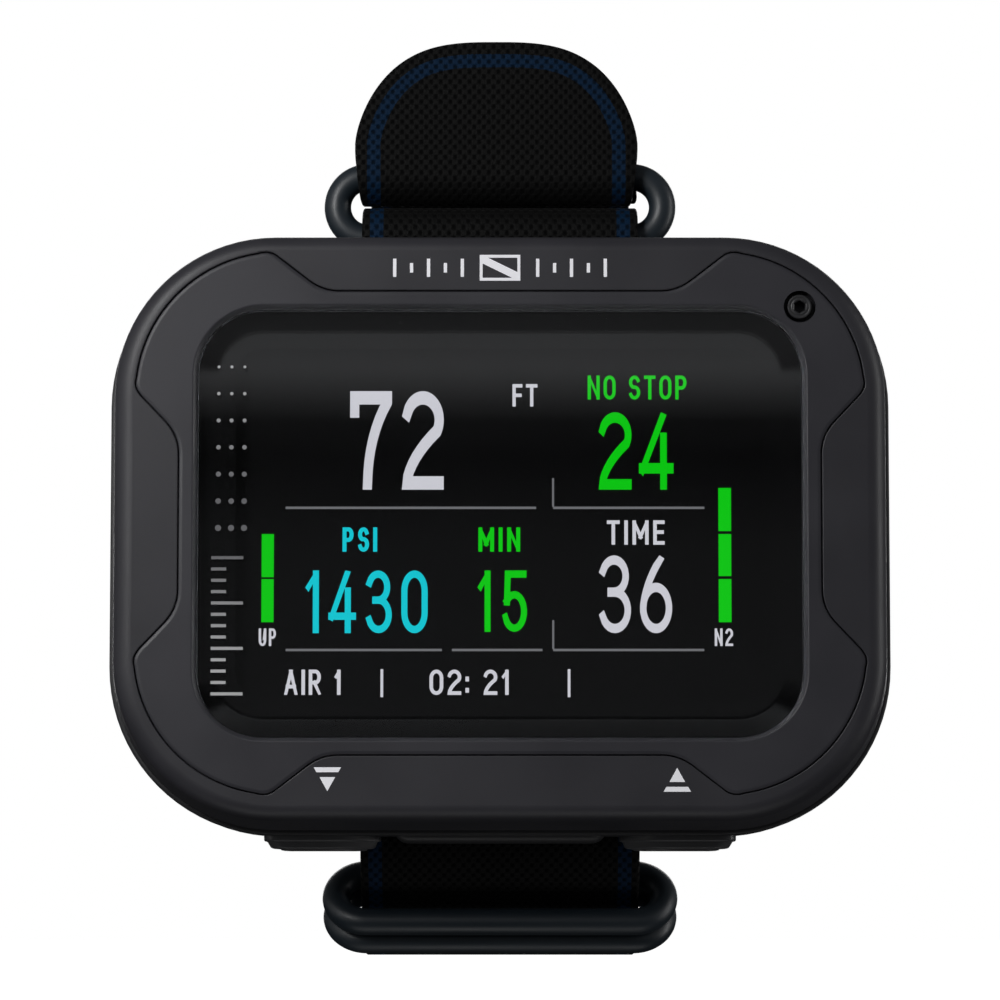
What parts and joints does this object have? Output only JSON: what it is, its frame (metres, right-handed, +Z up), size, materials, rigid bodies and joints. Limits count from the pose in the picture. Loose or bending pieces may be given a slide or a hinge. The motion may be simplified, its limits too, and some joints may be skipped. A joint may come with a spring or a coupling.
{
  "type": "dive computer",
  "caption": "Wrist dive computer: rectangular two-shell case with a large colour display, two push-buttons underneath and an elastic forearm strap with closure and keeper rings.",
  "frame": {"origin": "axis of the forearm that the strap goes round, level with the middle of the case", "axes": "+X along the forearm, to the right of someone reading the display; +Z up the display; -Y out of the display, towards the reader"},
  "size_m": [0.0824, 0.0817, 0.0983],
  "materials": {
    "shell": "fine moulded grain, satin",
    "bezel": "fine moulded grain, satin",
    "lens": "polished mineral glass, dark",
    "seal": "smooth",
    "plug": "satin, darkened",
    "display": "glossy black",
    "backlight": "white diffuser",
    "inner_plastic": "plain",
    "ribbon": "polyimide film",
    "board": "solder mask",
    "chip": "moulded epoxy",
    "foil": "dull foil",
    "steel": "satin",
    "gold": "plated",
    "copper": "enamelled winding",
    "foam": "closed-cell foam",
    "button": "satin",
    "ring": "smooth, glossy elastomer",
    "webbing": "woven elastic with a blue line along each edge"
  },
  "bodies": {
    "case": {"front_housing": "shell", "bezel_plate": "bezel", "window_lens": "lens", "window_gasket": "seal", "rear_housing": "shell", "main_seal": "seal", "port_plug_screw": "plug", "port_plug_seal": "seal", "display_panel": "display", "display_backlight": "backlight", "display_frame": "inner_plastic", "display_ribbon": "ribbon", "circuit_board": "board", "processor_chip": "chip", "memory_chip": "chip", "radio_module": "foil", "compass_sensor": "chip", "pressure_sensor": "steel", "pressure_sensor_seal": "seal", "pressure_port_grille": "steel", "buzzer": "gold", "vibration_motor": "steel", "antenna_coil": "copper", "battery_pack": "foil", "battery_pad": "foam", "charge_contact_block": "inner_plastic", "charge_contact_1": "gold", "charge_contact_2": "gold", "charge_contact_3": "gold", "case_screw_top_right": "steel", "case_screw_top_left": "steel", "case_screw_bottom_left": "steel", "case_screw_bottom_right": "steel", "button_spring_down": "steel", "button_spring_up": "steel", "switch_down": "chip", "switch_up": "chip", "strap_bridge_top": "shell", "strap_bridge_bottom": "shell", "bridge_screw_top_left": "steel", "bridge_screw_top_right": "steel", "bridge_screw_bottom_left": "steel", "bridge_screw_bottom_right": "steel", "closure_ring": "ring", "strap_sewn_eye": "webbing", "strap_back_run": "webbing", "strap_keeper_run": "webbing", "strap_forearm_band": "webbing"},
    "button_down": {"button_cap_down": "button", "button_seal_down": "seal", "button_clip_down": "steel"},
    "button_up": {"button_cap_up": "button", "button_seal_up": "seal", "button_clip_up": "steel"},
    "keeper_front": {"keeper_ring_front": "ring"},
    "keeper_rear": {"keeper_ring_rear": "ring"},
    "tail": {"strap_tail": "webbing"}
  },
  "joints": [
    {"name": "button_down_press", "type": "slide", "parent": "case", "child": "button_down", "axis": [0, 0, 1], "range_m": [0, 0.0008], "stiffness_N_per_m": 400, "springref_m": -0.002, "deforming": ["button_spring_down"]},
    {"name": "button_up_press", "type": "slide", "parent": "case", "child": "button_up", "axis": [0, 0, 1], "range_m": [0, 0.0008], "stiffness_N_per_m": 400, "springref_m": -0.002, "deforming": ["button_spring_up"]},
    {"name": "keeper_front_slide", "type": "hinge", "parent": "case", "child": "keeper_front", "pos_m": [0, -0.01324, -0.0193], "axis": [1, 0, 0], "range_deg": [-4, 0]},
    {"name": "keeper_rear_slide", "type": "hinge", "parent": "case", "child": "keeper_rear", "pos_m": [0, -0.01324, -0.0193], "axis": [1, 0, 0], "range_deg": [0, 30]},
    {"name": "tail_peel", "type": "hinge", "parent": "case", "child": "tail", "pos_m": [0, -0.03015, 0.03995], "axis": [1, 0, 0], "range_deg": [-25, 35], "stiffness_Nm_per_rad": 0.03}
  ]
}
